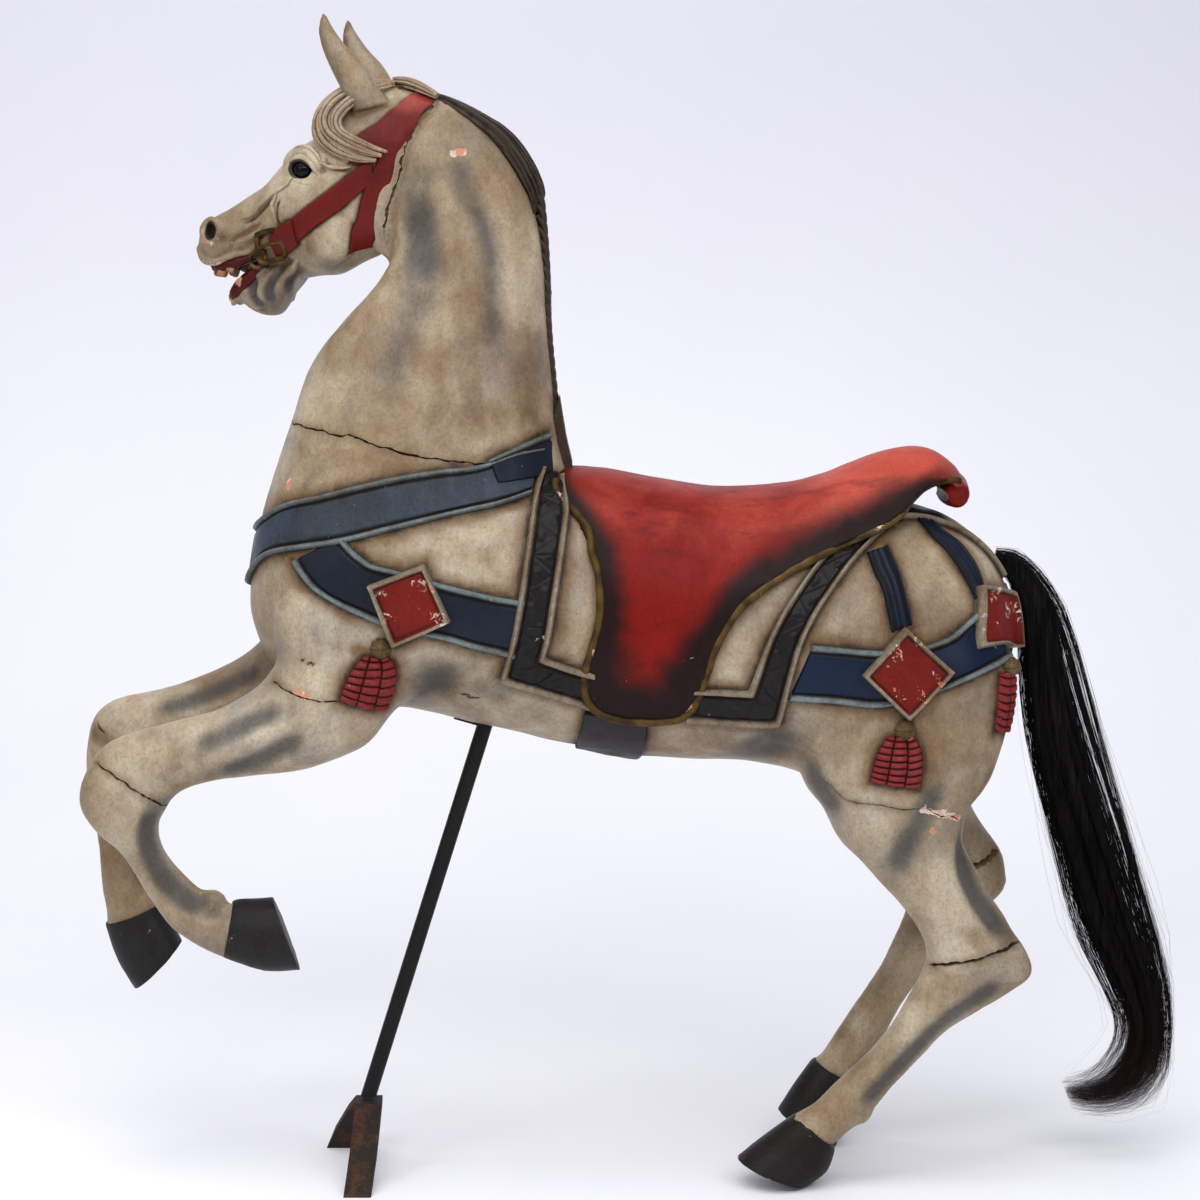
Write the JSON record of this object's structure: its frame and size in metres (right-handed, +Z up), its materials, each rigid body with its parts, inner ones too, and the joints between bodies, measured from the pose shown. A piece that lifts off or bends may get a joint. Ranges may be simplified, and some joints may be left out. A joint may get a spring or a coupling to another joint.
{
  "type": "carousel horse",
  "caption": "Carved wooden jumping horse with painted saddle, harness and bridle, a real hair tail, and a slanted iron rod with a bent bar foot that holds it up.",
  "frame": {"origin": "middle of the whole part's box at floor level: under the middle of the length from the right fore knee to the tail, on the horse's middle plane", "axes": "+X towards the tail, the horse faces -X; +Y towards the horse's right side; +Z up"},
  "size_m": [1.228, 0.2916, 1.274],
  "materials": {
    "carved_wood": "aged cream oil paint over carved wood, red saddle, navy straps, satin with brown patina",
    "eye_glass": "polished black glass",
    "horsehair": "loose black horsehair, browner at the tip",
    "rod_iron": "dark worn iron",
    "foot_iron": "rusty bent flat bar"
  },
  "bodies": {
    "root": {"horse": "carved_wood", "eye_left": "eye_glass", "eye_right": "eye_glass", "tail": "horsehair", "stand_rod": "rod_iron", "stand_foot": "foot_iron", "stand_plate": "rod_iron"}
  },
  "joints": []
}
